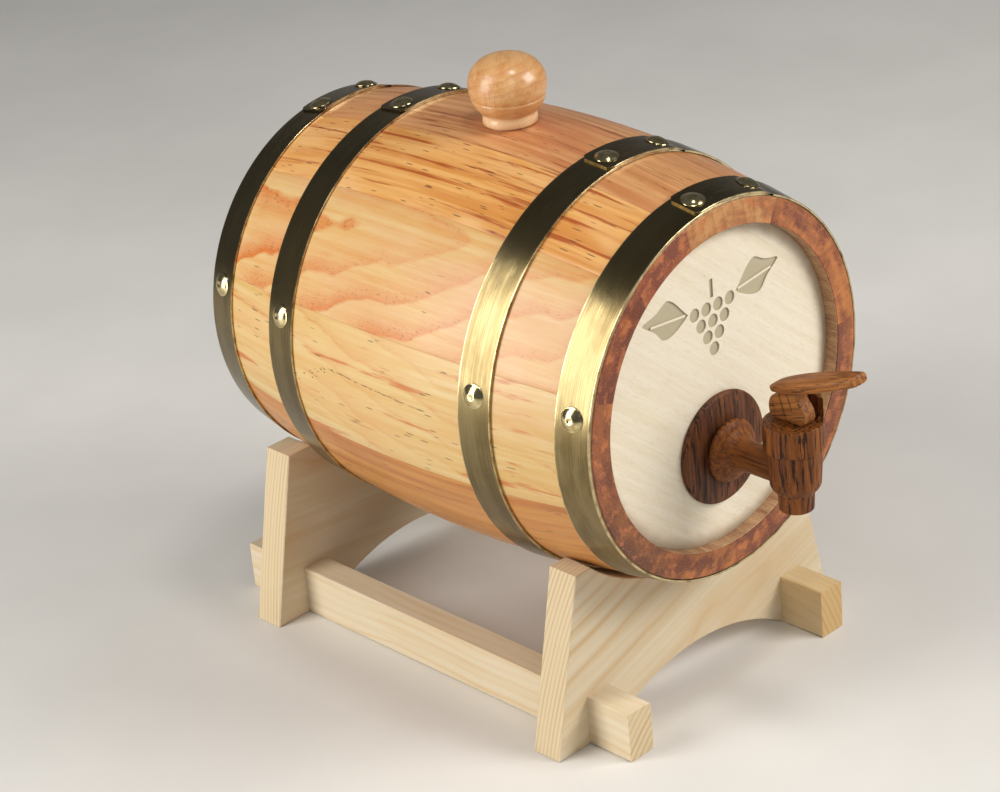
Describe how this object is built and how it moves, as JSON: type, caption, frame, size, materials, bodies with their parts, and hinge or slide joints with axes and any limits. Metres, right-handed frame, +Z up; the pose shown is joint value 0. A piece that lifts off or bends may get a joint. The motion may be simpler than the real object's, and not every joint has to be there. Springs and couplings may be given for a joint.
{
  "type": "table wine barrel on a stand",
  "caption": "Small table wine barrel of staves and metal hoops, with a bung and a turned wooden tap with a lever, lying on a slotted stand.",
  "frame": {"origin": "on the floor, under the centre of the whole object's box", "axes": "+X right seen from the front, +Y from the tap to the rear head, +Z up"},
  "size_m": [0.173, 0.2924, 0.2492],
  "materials": {
    "stave_wood": "satin varnished, honey orange",
    "head_wood": "satin varnished, pale",
    "bung_wood": "polished",
    "tap_wood": "oiled dark wood, satin",
    "stand_wood": "raw planed pine",
    "hoop_metal": "brushed, antique",
    "fastener_metal": "polished",
    "steel": "plain",
    "seal_rubber": "matt"
  },
  "bodies": {
    "stand": {"front_plate": "stand_wood", "rear_plate": "stand_wood", "left_rail": "stand_wood", "right_rail": "stand_wood", "stand_screws": "steel"},
    "barrel": {"bung_stave": "stave_wood", "stave_01": "stave_wood", "stave_02": "stave_wood", "stave_03": "stave_wood", "stave_04": "stave_wood", "stave_05": "stave_wood", "stave_06": "stave_wood", "stave_07": "stave_wood", "stave_08": "stave_wood", "stave_09": "stave_wood", "stave_10": "stave_wood", "front_head": "head_wood", "rear_head": "head_wood", "front_outer_hoop": "hoop_metal", "front_inner_hoop": "hoop_metal", "rear_inner_hoop": "hoop_metal", "rear_outer_hoop": "hoop_metal", "hoop_rivets": "fastener_metal", "hoop_nails": "fastener_metal", "tap_flange": "tap_wood", "tap_shank": "tap_wood", "tap_body": "tap_wood", "tap_bonnet": "tap_wood", "valve_spring": "steel"},
    "bung": {"bung": "bung_wood"},
    "tap_stem": {"tap_stem": "tap_wood", "valve_seal": "seal_rubber"},
    "tap_lever": {"tap_lever": "tap_wood", "lever_pin": "steel"}
  },
  "joints": [
    {"name": "barrel_lift", "type": "slide", "parent": "stand", "child": "barrel", "axis": [0, 0, 1], "range_m": [0, 0.05]},
    {"name": "bung_pull", "type": "slide", "parent": "barrel", "child": "bung", "axis": [0, 0, 1], "range_m": [0, 0.03]},
    {"name": "valve_lift", "type": "slide", "parent": "barrel", "child": "tap_stem", "axis": [0, 0, 1], "range_m": [0, 0.0028], "deforming": ["valve_spring"]},
    {"name": "lever_press", "type": "hinge", "parent": "tap_stem", "child": "tap_lever", "pos_m": [0, -0.1127, 0.1366], "axis": [1, 0, 0], "range_deg": [0, 19], "stiffness_Nm_per_rad": 0.12}
  ],
  "couplings": [
    {"joint": "valve_lift", "follows": "lever_press", "m_per_rad": 0.00814}
  ]
}
